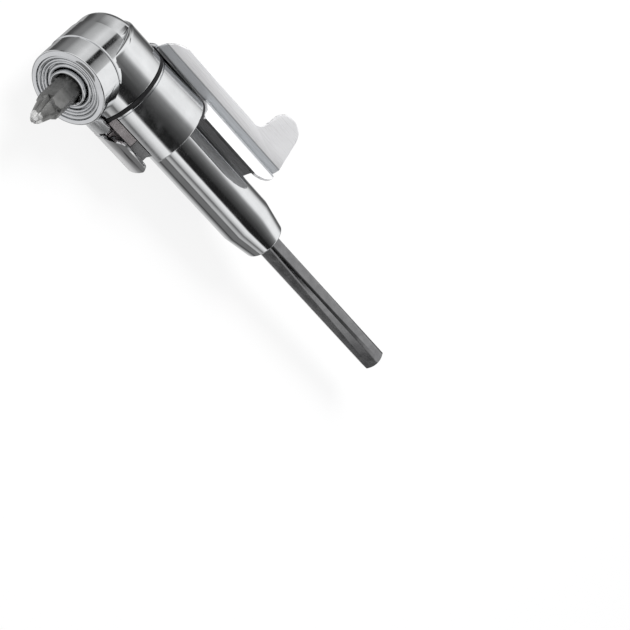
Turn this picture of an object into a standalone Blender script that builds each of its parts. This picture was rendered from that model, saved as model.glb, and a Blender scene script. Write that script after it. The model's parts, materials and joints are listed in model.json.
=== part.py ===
"""Angle adapter for a drill: a hexagon shank turns a bit through bevel gears at 105 degrees.

The shank's free end stands at the origin and its axis runs along +X to the head.
The bit leaves the head towards +Y, and +Z is square to the plane of the two axes.
The handle turns about the shank's axis and is shown in its rest position.
"""

from math import acos, cos, hypot, pi, radians, sin, sqrt, tan

import bmesh
import bpy
from mathutils import Matrix, Vector

MM = 0.001

# Fits between pieces
FIT = 0.3 * MM
RUN = 0.25 * MM
OVERLAP = 1 * MM
WELD = 0.0001 * MM

# Angles
SHAFT_ANGLE = radians(105)
HANDLE_REST = radians(-46)
SHANK_TURN = radians(11)
SHARP_EDGE = radians(30)
FLATNESS = radians(0.2)

# Hexagons of the shank and the bit
HEX_FLATS = 6.35 * MM
SHANK_OUT = 52 * MM
SHANK_CHAMFER = 0.7 * MM
BIT_LENGTH = 25 * MM
BIT_OUT = 15.6 * MM
BIT_HEX_OUT = 9 * MM
BIT_NECK_R = 2.7 * MM
BIT_TIP_R = 1.6 * MM
BIT_END_R = 0.9 * MM
BIT_POINT = 1 * MM
FLUTE_FLOOR = 0.55 * MM
FLUTE_OUT = 3.6 * MM
FLUTE_HALF = 2.4 * MM
FLUTE_LEAN = radians(-13)

# Bevel gears, equal in size
TEETH = 18
PITCH_R = 7.5 * MM
FACE_RATIO = 0.78
PRESSURE_ANGLE = radians(20)
BACKLASH = 0.3 * MM
ADDENDUM = 0.9
DEDENDUM = 1.2
PINION_HUB_WALL = 1.9 * MM
PINION_HUB = 2.5 * MM
GEAR_HUB_R = 5.8 * MM
GEAR_HUB = 0.7 * MM

# Head
BARREL_R = 10.4 * MM
BARREL_FRONT = 15 * MM
BARREL_BACK = 7.3 * MM
BARREL_EDGE = 0.5 * MM
BARREL_ROUND = 2.5 * MM
BAND_FRONT = 7.3 * MM
BAND_BACK = 0.5 * MM
BAND_RISE = 0.2 * MM
NECK_R = 12.2 * MM
NECK_END = 9.4 * MM
NECK_START = 1 * MM
NECK_ROUND = 1.2 * MM
NECK_FLAT = 9.9 * MM
CAVITY_R = 8.4 * MM
BACK_WALL = 1.7 * MM
BUSH_STEP = 0.6 * MM
RING_GROOVE = 0.5 * MM

# Output spindle and its bearing
SPINDLE_R = 5 * MM
SPINDLE_SEAT_R = 4.5 * MM
SPINDLE_OUT = 0.4 * MM
SPINDLE_TAIL = 2 * MM
SOCKET_MOUTH = 0.5 * MM
MAGNET_R = 2.4 * MM
MAGNET_THICK = 1.4 * MM
WASHER_THICK = 0.7 * MM
WASHER_WIDTH = 2.4 * MM
CIRCLIP_THICK = 0.7 * MM
NOSE_RING_WIDTH = 1.05 * MM
CIRCLIP_WIDTH = 2 * MM

# Input shaft and its bushes
JOURNAL_INSET = 4.1 * MM
BUSH_WALL = 2.3 * MM
BUSH_LENGTH = 7 * MM
REAR_BUSH_WALL = 1.1 * MM
REAR_BUSH_LENGTH = 8 * MM
CLIP_GROOVE = 0.5 * MM
REAR_CLIP_INSET = 3 * MM
REAR_CLIP_WIDTH = 1.1 * MM
DRIVE_PIN_R = 0.6 * MM

# Body sleeve
SLEEVE_R = 7.4 * MM
SLEEVE_END = 70 * MM
CONE_LENGTH = 9 * MM
NOSE_INSET = 1.55 * MM
NOSE_EDGE = 0.6 * MM
SPIGOT_WALL = 0.5 * MM
SPIGOT_DEPTH = 2.4 * MM
LOCK_PIN_R = 0.6 * MM
LOCK_PIN_ANGLES = (radians(-125), radians(-55))
SEAL_WIDTH = 0.9 * MM

# Swivel collar
COLLAR_END = 27 * MM
COLLAR_FRONT_R = 11.9 * MM
COLLAR_RIM_R = 12.5 * MM
COLLAR_EDGE = 0.45 * MM
FLAT_INSET = 1 * MM
COLLAR_RECESS = 1.7 * MM

# Sheet-metal handle
SHEET = 0.9 * MM
SADDLE_START = 8 * MM
HANDLE_END = 56.4 * MM
STRAP_WIDTH = 4.6 * MM
SADDLE_EDGE = radians(-5.5)
SADDLE_BACK_EDGE = radians(-110)
SADDLE_LEFT_EDGE = radians(-158)
STRAP_EDGE = radians(-224)
SADDLE_CORNER = 3 * MM
LIP_EDGE = radians(43)
LIP_CORNER = 9.6 * MM
LIP_TOP_CORNER = 0.8 * MM
STEP_OUT = 2.4 * MM
STEP_UP = 1.2 * MM
FIN_EDGE = 18.7 * MM
FIN_TOP_RISE = 0.8 * MM
FIN_TOP_RUN = 4 * MM
FIN_ROOT_CORNER = 0.5 * MM
FIN_TOP_CORNER = 2.5 * MM
FIN_SHOULDER = 8 * MM
HOOK_TIP = 27 * MM
HOOK_START = 44.2 * MM
HOOK_SLANT = 0.2 * MM
HOOK_FOOT_RISE = 3.8 * MM
HOOK_THROAT = 3 * MM
HOOK_TIP_CORNER = 3.6 * MM
HOOK_FOOT_CORNER = 5 * MM
FOOT_CORNER = 2 * MM
RIVET_R = 0.9 * MM
RIVET_HEAD_R = 1.7 * MM
RIVET_HEAD = 0.7 * MM
RIVET_DEPTH = 2.6 * MM
RIVET_INSET = 4 * MM
RIVET_ANGLES = (radians(-120), radians(-50))

# Lever, its bracket and the shoe
LEVER_PIN_RISE = 3.4 * MM
LEVER_PIN_ALONG = 17 * MM
LEVER_PIN_R = 0.6 * MM
LEVER_EDGE = radians(136)
LEVER_FAR_EDGE = radians(196)
LEVER_SLANT_EDGE = radians(158)
LEVER_START = 14 * MM
LEVER_SLANT = 3.5 * MM
LEVER_END = 27.4 * MM
LEVER_CORNER = 2.4 * MM
KNUCKLE_R = 1.65 * MM
KNUCKLE_WIDTH = 4 * MM
EAR = 1.2 * MM
EAR_THICK = 1 * MM
BRACKET_PLATE = 0.9 * MM
BRACKET_WIDTH = 16 * MM
FOOT = 2.6 * MM
LEVER_ROOM = 1 * MM
SHOE_WIDTH = 14 * MM
SHOE_RISE = 2.2 * MM
SHOE_RIBS = 6
RIB_DEPTH = 0.5 * MM

ROUND_STEPS = 52
HIDDEN_STEPS = 24
PIN_STEPS = 16
EDGE_STEPS = 5
BEND_STEP = radians(7.5)

JOURNAL_R = SLEEVE_R - JOURNAL_INSET
PINION_HUB_R = JOURNAL_R + PINION_HUB_WALL
NOSE_R = SLEEVE_R - NOSE_INSET
COLLAR_FLAT = SLEEVE_R - FLAT_INSET
LEVER_PIN_OUT = SLEEVE_R + LEVER_PIN_RISE
HEX_CORNER = HEX_FLATS / sqrt(3)
CROSSING = SHANK_OUT + SLEEVE_END
SHEET_R = max(COLLAR_RIM_R, NECK_R) + FIT / 2 + SHEET / 2


def clear_scene():
    for item in list(bpy.data.objects):
        bpy.data.objects.remove(item, do_unlink=True)


def material(name, colour, roughness, metallic):
    made = bpy.data.materials.new(name)
    made.use_nodes = True
    shader = made.node_tree.nodes["Principled BSDF"]
    shader.inputs["Base Color"].default_value = (*colour, 1)
    shader.inputs["Roughness"].default_value = roughness
    shader.inputs["Metallic"].default_value = metallic
    made.diffuse_color = (*colour, 1)
    return made


def empty(name, frame, parent=None):
    made = bpy.data.objects.new(name, None)
    bpy.context.collection.objects.link(made)
    made.parent = parent
    made.matrix_local = frame
    return made


def finish(name, mesh_data, look, parent, offset=(0, 0, 0)):
    """Turn a bmesh into a smooth-shaded object under its parent."""
    bmesh.ops.recalc_face_normals(mesh_data, faces=mesh_data.faces)
    mesh = bpy.data.meshes.new(name)
    mesh_data.to_mesh(mesh)
    mesh_data.free()
    made = bpy.data.objects.new(name, mesh)
    bpy.context.collection.objects.link(made)
    made.parent = parent
    made.location = offset
    if look is not None:
        mesh.materials.append(look)
    mesh.shade_smooth()
    mesh.set_sharp_from_angle(angle=SHARP_EDGE)
    return made


def copies(name, mesh_data, look, parent, frames):
    """Place one mesh in several frames, each as an object of its own."""
    mesh = None
    for number, frame in enumerate(frames, 1):
        if mesh is None:
            made = finish(f"{name}_{number}", mesh_data, look, parent)
            mesh = made.data
        else:
            made = bpy.data.objects.new(f"{name}_{number}", mesh)
            bpy.context.collection.objects.link(made)
            made.parent = parent
        made.matrix_local = frame


def combine(target, other, operation, solver="EXACT"):
    """Apply one object to another with a Boolean and leave the second as a guide."""
    step = target.modifiers.new(other.name, "BOOLEAN")
    step.operation = operation
    step.solver = solver
    step.object = other
    other.hide_render = True
    other.display_type = "WIRE"
    return target


def cut(target, *others, solver="EXACT"):
    for other in others:
        combine(target, other, "DIFFERENCE", solver)


def fuse(target, *others, solver="EXACT"):
    for other in others:
        combine(target, other, "UNION", solver)


def turned_mesh(profile, steps=ROUND_STEPS):
    """Spin a profile of (radius, height) points about the local Z axis."""
    made = bmesh.new()
    verts = [made.verts.new((radius, 0, height)) for radius, height in profile]
    pairs = list(zip(verts, verts[1:]))
    if profile[0][0] > 0 or profile[-1][0] > 0:
        pairs.append((verts[-1], verts[0]))
    edges = [made.edges.new(pair) for pair in pairs]
    bmesh.ops.spin(
        made, geom=verts + edges, axis=(0, 0, 1), angle=2 * pi, steps=steps, use_merge=True
    )
    bmesh.ops.remove_doubles(made, verts=made.verts, dist=WELD)
    return made


def turned(name, profile, look, parent, steps=ROUND_STEPS, offset=(0, 0, 0)):
    return finish(name, turned_mesh(profile, steps), look, parent, offset)


def ring(name, inner, outer, start, end, look, parent, steps=ROUND_STEPS):
    profile = [(inner, start), (outer, start), (outer, end), (inner, end)]
    return turned(name, profile, look, parent, steps)


def rod(name, radius, start, end, look, parent, steps=HIDDEN_STEPS):
    profile = [(0, start), (radius, start), (radius, end), (0, end)]
    return turned(name, profile, look, parent, steps)


def cross_rod(name, radius, start, end, frame, parent, look=None):
    """Make a round bar along the local Z axis of a frame given under the parent."""
    made = turned_mesh([(0, start), (radius, start), (radius, end), (0, end)], PIN_STEPS)
    bmesh.ops.transform(made, matrix=frame, verts=made.verts)
    return finish(name, made, look, parent)


def block(name, low, high, look, parent):
    made = bmesh.new()
    bmesh.ops.create_cube(made, size=1)
    low, high = Vector(low), Vector(high)
    size = high - low
    bmesh.ops.scale(made, vec=size, verts=made.verts)
    bmesh.ops.translate(made, vec=(low + high) / 2, verts=made.verts)
    return finish(name, made, look, parent)


def hexagon(name, corner, start, end, look, parent):
    made = bmesh.new()
    bmesh.ops.create_cone(
        made, cap_ends=True, segments=6, radius1=corner, radius2=corner, depth=end - start
    )
    bmesh.ops.translate(made, vec=(0, 0, (start + end) / 2), verts=made.verts)
    return finish(name, made, look, parent)


def extruded(name, outline, start, end, frame, look, parent):
    """Extrude a closed outline of (x, y) points along Z, then place it by a frame."""
    made = bmesh.new()
    face = made.faces.new([made.verts.new((x, y, start)) for x, y in outline])
    grown = bmesh.ops.extrude_face_region(made, geom=[face])
    top = [item for item in grown["geom"] if isinstance(item, bmesh.types.BMVert)]
    bmesh.ops.translate(made, vec=(0, 0, end - start), verts=top)
    bmesh.ops.transform(made, matrix=frame, verts=made.verts)
    return finish(name, made, look, parent)


def rounded(corners, steps=6):
    """Replace each (x, y, radius) corner of a closed outline by an arc."""
    outline = []
    for index, (x, y, radius) in enumerate(corners):
        here = Vector((x, y))
        before = Vector(corners[index - 1][:2]) - here
        after = Vector(corners[(index + 1) % len(corners)][:2]) - here
        if radius == 0:
            outline.append((x, y))
            continue
        opening = before.angle(after)
        reach = radius / tan(opening / 2)
        centre = here + (before.normalized() + after.normalized()).normalized() * (
            radius / sin(opening / 2)
        )
        first = here + before.normalized() * reach - centre
        turn = before.angle_signed(after)
        sweep = (pi - opening) * (1 if turn > 0 else -1)
        for step in range(steps + 1):
            spoke = first.copy()
            spoke.rotate(Matrix.Rotation(sweep * step / steps, 2))
            outline.append(tuple(centre + spoke))
    return outline


def arc_section(radius, start, end):
    """Points of an arc about the shaft axis, from one angle to another."""
    count = max(2, round(abs(end - start) / BEND_STEP))
    angles = [start + (end - start) * step / count for step in range(count + 1)]
    return [(radius * cos(angle), radius * sin(angle)) for angle in angles]


def section_lengths(section):
    lengths = [0]
    for here, there in zip(section, section[1:]):
        lengths.append(lengths[-1] + hypot(there[0] - here[0], there[1] - here[1]))
    return lengths


def beside(section, shift):
    """Shift a bent line sideways, with its corners mitred."""
    pairs = zip(section, section[1:])
    sides = [(Vector(there) - Vector(here)).normalized().orthogonal() for here, there in pairs]
    shifted = []
    for index, point in enumerate(section):
        before, after = sides[max(index - 1, 0)], sides[min(index, len(sides) - 1)]
        middle = (before + after).normalized()
        shifted.append(Vector(point) + middle * (shift / middle.dot(after)))
    return shifted


def bent_sheet(name, outline, section, look, parent, offset=(0, 0, 0)):
    """Cut a sheet to its outline and bend it along a section.

    The outline holds (distance along the section, distance along the shaft).
    """
    lengths = section_lengths(section)
    made = bmesh.new()
    made.faces.new([made.verts.new((along, depth, 0)) for along, depth in outline])
    made.normal_update()
    bmesh.ops.triangulate(made, faces=made.faces[:])
    for length in lengths[1:-1]:
        geometry = made.verts[:] + made.edges[:] + made.faces[:]
        bmesh.ops.bisect_plane(
            made, geom=geometry, dist=WELD, plane_co=(length, 0, 0), plane_no=(1, 0, 0)
        )
    lower = made.verts[:]
    grown = bmesh.ops.extrude_face_region(made, geom=made.faces[:])
    upper = [item for item in grown["geom"] if isinstance(item, bmesh.types.BMVert)]
    for verts, line in ((lower, beside(section, -SHEET / 2)), (upper, beside(section, SHEET / 2))):
        for vert in verts:
            along, depth = vert.co.x, vert.co.y
            leg = max(i for i in range(len(line) - 1) if lengths[i] <= max(along, 0) + WELD / 10)
            share = (along - lengths[leg]) / (lengths[leg + 1] - lengths[leg])
            place = line[leg].lerp(line[leg + 1], share)
            vert.co = (place.x, place.y, depth)
    made.normal_update()
    bmesh.ops.dissolve_limit(
        made, angle_limit=FLATNESS, verts=made.verts[:], edges=made.edges[:]
    )
    return finish(name, made, look, parent, offset)


class Bevel:
    """A straight bevel gear: equal gears whose axes meet at the shaft angle."""

    def __init__(self):
        self.cone = SHAFT_ANGLE / 2
        self.module = 2 * PITCH_R / TEETH
        self.reach = PITCH_R / sin(self.cone)
        self.back_r = PITCH_R / cos(self.cone)
        self.base_r = self.back_r * cos(PRESSURE_ANGLE)
        self.tip_r = self.back_r + ADDENDUM * self.module
        self.root_r = self.back_r - DEDENDUM * self.module

    def point(self, back_radius, scale):
        """Distance from the axis and from the crossing point, on the back cone."""
        out = scale * back_radius * cos(self.cone)
        along = scale * (self.reach / cos(self.cone) - back_radius * sin(self.cone))
        return out, along

    def half_angle(self, back_radius):
        """Half of a tooth's angle at a radius of the involute."""
        thickness = pi * self.module / 2 - BACKLASH / 2
        rolled = acos(min(1, self.base_r / back_radius))
        involute = tan(PRESSURE_ANGLE) - PRESSURE_ANGLE - tan(rolled) + rolled
        return (thickness / (2 * self.back_r) + involute) / cos(self.cone)

    def outline(self, scale, first_tooth):
        """Tooth outline round the gear, as (out, along, angle)."""
        low = max(self.base_r, self.root_r)
        radii = (self.root_r, low, self.back_r, self.tip_r)
        flank = [(*self.point(r, scale), self.half_angle(r)) for r in radii]
        points = []
        for tooth in range(TEETH):
            centre = first_tooth + 2 * pi * tooth / TEETH
            points += [(out, along, centre - half) for out, along, half in flank]
            points += [(out, along, centre + half) for out, along, half in reversed(flank)]
        return points

    def body(self, name, first_tooth, bore, hub_r, hub, look, parent):
        """Join the tooth outlines, the hub and the bore into one closed solid."""
        outer = self.outline(1, first_tooth)
        inner = self.outline(FACE_RATIO, first_tooth)
        angles = [angle for out, along, angle in outer]
        root_back = self.point(self.root_r, 1)[1]
        root_front = self.point(self.root_r, FACE_RATIO)[1]
        hub_end = root_back + hub
        circles = [(hub_r, root_back), (hub_r, hub_end), (bore, hub_end), (bore, root_front)]
        loops = [inner, outer]
        loops += [[(out, along, angle) for angle in angles] for out, along in circles]
        made = bmesh.new()
        rings = [
            [made.verts.new((out * cos(angle), out * sin(angle), along)) for out, along, angle in loop]
            for loop in loops
        ]
        for here, there in zip(rings, rings[1:] + rings[:1]):
            for index in range(len(here)):
                following = (index + 1) % len(here)
                made.faces.new((here[index], here[following], there[following], there[index]))
        return finish(name, made, look, parent)


BEVEL = Bevel()
GEAR_FRONT = BEVEL.point(BEVEL.root_r, FACE_RATIO)[1]
GEAR_BACK = BEVEL.point(BEVEL.root_r, 1)[1]

# Stations along the input axis, measured from the crossing point towards the shank
PINION_END = GEAR_BACK + PINION_HUB
PINION_WASHER_START = PINION_END + FIT
BUSH_START = PINION_WASHER_START + WASHER_THICK + FIT
SPIGOT_START = NECK_END - SPIGOT_DEPTH
SEAL_START = NECK_END + FIT
COLLAR_START = SEAL_START + SEAL_WIDTH + FIT
CONE_START = SLEEVE_END - CONE_LENGTH
REAR_CLIP_START = SLEEVE_END - REAR_CLIP_INSET
REAR_BUSH_END = REAR_CLIP_START - FIT
REAR_BUSH_START = REAR_BUSH_END - REAR_BUSH_LENGTH
COLLAR_CLIP_START = COLLAR_END - COLLAR_RECESS + FIT
SHOE_END = COLLAR_CLIP_START - FIT
BUSH_BORE = JOURNAL_R + RUN
BUSH_R = BUSH_BORE + BUSH_WALL
BUSH_SEAT_R = BUSH_R + FIT
REAR_BUSH_R = BUSH_BORE + REAR_BUSH_WALL
REAR_SEAT_R = REAR_BUSH_R + FIT
COLLAR_BORE = SLEEVE_R + FIT
SPIGOT_R = CAVITY_R + SPIGOT_WALL

# Stations along the output axis, measured from the crossing point towards the bit
SPINDLE_START = GEAR_FRONT - SPINDLE_TAIL
SPINDLE_STEP = GEAR_BACK + GEAR_HUB + FIT
GEAR_WASHER_START = SPINDLE_STEP
OUTPUT_BUSH_START = GEAR_WASHER_START + WASHER_THICK + FIT
SPINDLE_END = BARREL_FRONT + SPINDLE_OUT
BIT_TIP = BARREL_FRONT + BIT_OUT
BIT_START = BIT_TIP - BIT_LENGTH
NOSE_RING_START = SPINDLE_END - SOCKET_MOUTH - 2 * CIRCLIP_THICK
OUTPUT_BUSH_END = NOSE_RING_START - FIT
OUTPUT_BUSH_R = CAVITY_R + BUSH_STEP - FIT
RETAINER_START = OUTPUT_BUSH_END + FIT
SOCKET_CORNER = HEX_CORNER + RUN * 2 / sqrt(3)


def quarter(radius):
    """Offsets (inwards, back) of a quarter round, from its flat end to its full radius."""
    for step in range(EDGE_STEPS + 1):
        angle = pi / 2 * step / EDGE_STEPS
        yield radius * (1 - sin(angle)), radius * (1 - cos(angle))


def flat_side(name, distance, half, start, end, swivel):
    """Block that cuts a flat on the side of the lever."""
    return block(name, (-half * 2, -half, start), (-distance, half, end), None, swivel)


def head(chrome, shaft, output, swivel):
    """Barrel across the axis, with the neck of the shaft's side fused to it."""
    front, back = BARREL_FRONT, -BARREL_BACK
    mouth_r = CAVITY_R + BUSH_STEP
    barrel = [(0, back)]
    barrel += [(BARREL_R - inwards, back + rise) for inwards, rise in quarter(BARREL_ROUND)]
    barrel += [
        (BARREL_R, -BAND_BACK - BAND_RISE),
        (BARREL_R + BAND_RISE, -BAND_BACK),
        (BARREL_R + BAND_RISE, BAND_FRONT),
        (BARREL_R, BAND_FRONT + BAND_RISE),
        (BARREL_R, front - BARREL_EDGE),
        (BARREL_R - BARREL_EDGE, front),
        (0, front),
    ]
    body = turned("gear_head", barrel, chrome, output)
    neck_front = -NECK_START - NECK_ROUND
    neck_profile = [(0, neck_front)]
    neck_profile += [(NECK_R - inwards, neck_front + rise) for inwards, rise in quarter(NECK_ROUND)]
    neck_profile += [
        (NECK_R, NECK_END - BARREL_EDGE / 2),
        (NECK_R - BARREL_EDGE / 2, NECK_END),
        (0, NECK_END),
    ]
    neck = turned("neck_form", neck_profile, chrome, shaft)
    reach = NECK_R + FIT
    cut(neck, flat_side("neck_flat", NECK_FLAT, reach, neck_front - FIT, NECK_END + FIT, swivel))
    fuse(body, neck)
    groove_r = mouth_r + RING_GROOVE
    groove_start = RETAINER_START - FIT / 2
    groove_end = RETAINER_START + CIRCLIP_THICK + FIT
    gear_room = turned(
        "gear_room",
        [
            (0, back + BACK_WALL),
            (CAVITY_R, back + BACK_WALL),
            (CAVITY_R, OUTPUT_BUSH_START - FIT),
            (mouth_r, OUTPUT_BUSH_START - FIT),
            (mouth_r, groove_start),
            (groove_r, groove_start),
            (groove_r, groove_end),
            (mouth_r, groove_end),
            (mouth_r, front + FIT),
            (0, front + FIT),
        ],
        None,
        output,
    )
    pinion_room = turned(
        "pinion_room",
        [
            (0, 0),
            (CAVITY_R, 0),
            (CAVITY_R, SPIGOT_START - FIT),
            (SPIGOT_R + FIT, SPIGOT_START - FIT),
            (SPIGOT_R + FIT, NECK_END),
            (NECK_R * 2, NECK_END),
            (NECK_R * 2, NECK_END + BARREL_R),
            (0, NECK_END + BARREL_R),
        ],
        None,
        shaft,
    )
    cut(body, gear_room, pinion_room)
    for place, frame in enumerate(lock_pin_frames()):
        hole = cross_rod(
            f"neck_pin_hole_{place}", LOCK_PIN_R + FIT, CAVITY_R, NECK_R + FIT, frame, shaft
        )
        cut(body, hole, solver="MANIFOLD")


def lock_pin_frames():
    """Frames whose Z axis points outwards at each lock pin, on the side away from the bit."""
    along = (SPIGOT_START + NECK_END - FIT) / 2
    shift = Matrix.Translation((0, 0, along))
    for angle in LOCK_PIN_ANGLES:
        yield shift @ Matrix.Rotation(angle, 4, "Z") @ Matrix.Rotation(pi / 2, 4, "Y")


def lock_pins(steel, shaft):
    """Two pins that lock the sleeve into the neck."""
    low, high = SPIGOT_R - SPIGOT_WALL * 2, NECK_R - FIT
    pin = turned_mesh([(0, low), (LOCK_PIN_R, low), (LOCK_PIN_R, high), (0, high)], PIN_STEPS)
    copies("sleeve_pin", pin, steel, shaft, lock_pin_frames())


def sleeve(chrome, shaft):
    """Slim tube that carries both shaft bushes, from its spigot to the nose."""
    clip_floor = SLEEVE_R - CLIP_GROOVE
    clip_start = COLLAR_CLIP_START - FIT / 2
    clip_end = COLLAR_CLIP_START + CIRCLIP_THICK + FIT / 2
    outside = [
        (SPIGOT_R, SPIGOT_START),
        (SPIGOT_R, NECK_END - FIT),
        (SLEEVE_R, NECK_END - FIT),
        (SLEEVE_R, clip_start),
        (clip_floor, clip_start),
        (clip_floor, clip_end),
        (SLEEVE_R, clip_end),
        (SLEEVE_R, CONE_START),
    ]
    slope = (SLEEVE_R - NOSE_R) / CONE_LENGTH
    for back, inwards in quarter(NOSE_EDGE):
        outside.append((NOSE_R + slope * back - inwards, SLEEVE_END - back))
    bore = BUSH_BORE + FIT * 2
    inside = [
        (REAR_SEAT_R, SLEEVE_END),
        (REAR_SEAT_R, REAR_BUSH_START - FIT),
        (bore, REAR_BUSH_START - FIT),
        (bore, BUSH_START + BUSH_LENGTH + FIT),
        (BUSH_SEAT_R, BUSH_START + BUSH_LENGTH + FIT),
        (BUSH_SEAT_R, SPIGOT_START),
    ]
    body = turned("body_sleeve", outside + inside, chrome, shaft)
    for place, frame in enumerate(lock_pin_frames()):
        start = SPIGOT_R - SPIGOT_WALL * 2 - FIT
        hole = cross_rod(
            f"spigot_pin_hole_{place}", LOCK_PIN_R + FIT, start, NECK_R, frame, shaft
        )
        cut(body, hole)


def body_rings(rubber, bronze, steel, shaft, output, swivel):
    """Seal, bushes and retaining rings that stay with the head and the sleeve."""
    end = SEAL_START + SEAL_WIDTH
    seal = ring("seal_ring", COLLAR_BORE, NECK_R, SEAL_START, end, rubber, shaft)
    cut(seal, flat_side("seal_flat", NECK_FLAT, NECK_R + FIT, NECK_END, end + FIT, swivel))
    bores = (
        ("shaft_bush_front", BUSH_R, BUSH_START, BUSH_START + BUSH_LENGTH),
        ("shaft_bush_rear", REAR_BUSH_R, REAR_BUSH_START, REAR_BUSH_END),
    )
    for name, outer, start, end in bores:
        ring(name, BUSH_BORE, outer, start, end, bronze, shaft, HIDDEN_STEPS)
    bore = SPINDLE_R + RUN
    ring("output_bush", bore, OUTPUT_BUSH_R, OUTPUT_BUSH_START, OUTPUT_BUSH_END, steel, output)
    outer = CAVITY_R + BUSH_STEP + RING_GROOVE - FIT
    end = RETAINER_START + CIRCLIP_THICK
    ring("front_retaining_ring", outer - CIRCLIP_WIDTH, outer, RETAINER_START, end, steel, output)
    inner = SLEEVE_R - CLIP_GROOVE + FIT
    end = COLLAR_CLIP_START + CIRCLIP_THICK
    ring("collar_circlip", inner, inner + CIRCLIP_WIDTH, COLLAR_CLIP_START, end, steel, shaft)


def input_shaft(dark, steel, bronze, shaft):
    """Hexagon shank with its turned journal, pinion, pin, washer and circlip."""
    far = SLEEVE_END + SHANK_OUT
    journal_end = SLEEVE_END + FIT
    clip_floor = JOURNAL_R - CLIP_GROOVE
    clip_end = REAR_CLIP_START + CIRCLIP_THICK
    body = turned(
        "input_shaft",
        [
            (0, GEAR_FRONT),
            (JOURNAL_R - BARREL_EDGE, GEAR_FRONT),
            (JOURNAL_R, GEAR_FRONT + BARREL_EDGE),
            (JOURNAL_R, REAR_CLIP_START - FIT / 2),
            (clip_floor, REAR_CLIP_START - FIT / 2),
            (clip_floor, clip_end + FIT / 2),
            (JOURNAL_R, clip_end + FIT / 2),
            (JOURNAL_R, journal_end + OVERLAP),
            (0, journal_end + OVERLAP),
        ],
        dark,
        shaft,
    )
    shank = hexagon("shank_form", HEX_CORNER, journal_end, far, dark, shaft)
    shank.rotation_euler.z = SHANK_TURN
    limits = turned(
        "shank_limits",
        [
            (0, journal_end),
            (HEX_CORNER - SHANK_CHAMFER, journal_end),
            (HEX_CORNER + FIT, journal_end + SHANK_CHAMFER),
            (HEX_CORNER + FIT, far - SHANK_CHAMFER),
            (HEX_CORNER - SHANK_CHAMFER, far),
            (0, far),
        ],
        dark,
        shaft,
    )
    combine(shank, limits, "INTERSECT")
    fuse(body, shank)
    pin_frame = Matrix.Translation((0, 0, (GEAR_BACK + PINION_END) / 2)) @ Matrix.Rotation(
        pi / 2, 4, "Y"
    )
    pin_half = PINION_HUB_R - FIT
    cross_rod("pinion_pin", DRIVE_PIN_R, -pin_half, pin_half, pin_frame, shaft, steel)
    hole = cross_rod(
        "pin_hole", DRIVE_PIN_R + FIT, -PINION_HUB_R - FIT, PINION_HUB_R + FIT, pin_frame, shaft
    )
    pinion = BEVEL.body(
        "bevel_pinion", pi / 2, JOURNAL_R + FIT, PINION_HUB_R, PINION_HUB, steel, shaft
    )
    cut(pinion, hole)
    cut(body, hole)
    washer_end = PINION_WASHER_START + WASHER_THICK
    inner = JOURNAL_R + RUN
    rings = (
        ("pinion_washer", inner, WASHER_WIDTH, PINION_WASHER_START, washer_end, bronze),
        ("shaft_circlip", clip_floor + FIT, REAR_CLIP_WIDTH, REAR_CLIP_START, clip_end, steel),
    )
    for name, bore, width, start, end, look in rings:
        ring(name, bore, bore + width, start, end, look, shaft, HIDDEN_STEPS)


def spindle(chrome, steel, bronze, magnetic, output):
    """Hollow output spindle with its socket, gear, washer, magnet and nose ring."""
    magnet_seat = BIT_START - FIT * 2 - MAGNET_THICK
    body = turned(
        "output_spindle",
        [
            (0, SPINDLE_START),
            (SPINDLE_SEAT_R, SPINDLE_START),
            (SPINDLE_SEAT_R, SPINDLE_STEP),
            (SPINDLE_R, SPINDLE_STEP),
            (SPINDLE_R, SPINDLE_END - BARREL_EDGE / 2),
            (SPINDLE_R - BARREL_EDGE / 2, SPINDLE_END),
            (0, SPINDLE_END),
        ],
        chrome,
        output,
    )
    socket = hexagon("socket", SOCKET_CORNER, BIT_START - FIT, SPINDLE_END + FIT, None, output)
    mouth = turned(
        "socket_mouth",
        [
            (0, SPINDLE_END - SOCKET_MOUTH * 2),
            (SOCKET_CORNER - SOCKET_MOUTH, SPINDLE_END - SOCKET_MOUTH * 2),
            (SOCKET_CORNER + SOCKET_MOUTH + FIT, SPINDLE_END + FIT),
            (0, SPINDLE_END + FIT),
        ],
        None,
        output,
    )
    pocket = rod("magnet_pocket", MAGNET_R + FIT, magnet_seat - FIT, BIT_START, None, output)
    cut(body, socket, mouth, pocket)
    rod("bit_magnet", MAGNET_R, magnet_seat, magnet_seat + MAGNET_THICK, magnetic, output)
    first = -pi / 2 + pi / TEETH
    bore = SPINDLE_SEAT_R + FIT
    BEVEL.body("bevel_gear", first, bore, GEAR_HUB_R, GEAR_HUB, steel, output)
    inner = SPINDLE_R + RUN
    start, end = GEAR_WASHER_START, GEAR_WASHER_START + WASHER_THICK
    ring("gear_washer", inner, inner + WASHER_WIDTH, start, end, bronze, output, HIDDEN_STEPS)
    end = NOSE_RING_START + CIRCLIP_THICK
    ring("spindle_nose_ring", inner, inner + NOSE_RING_WIDTH, NOSE_RING_START, end, chrome, output)


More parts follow.
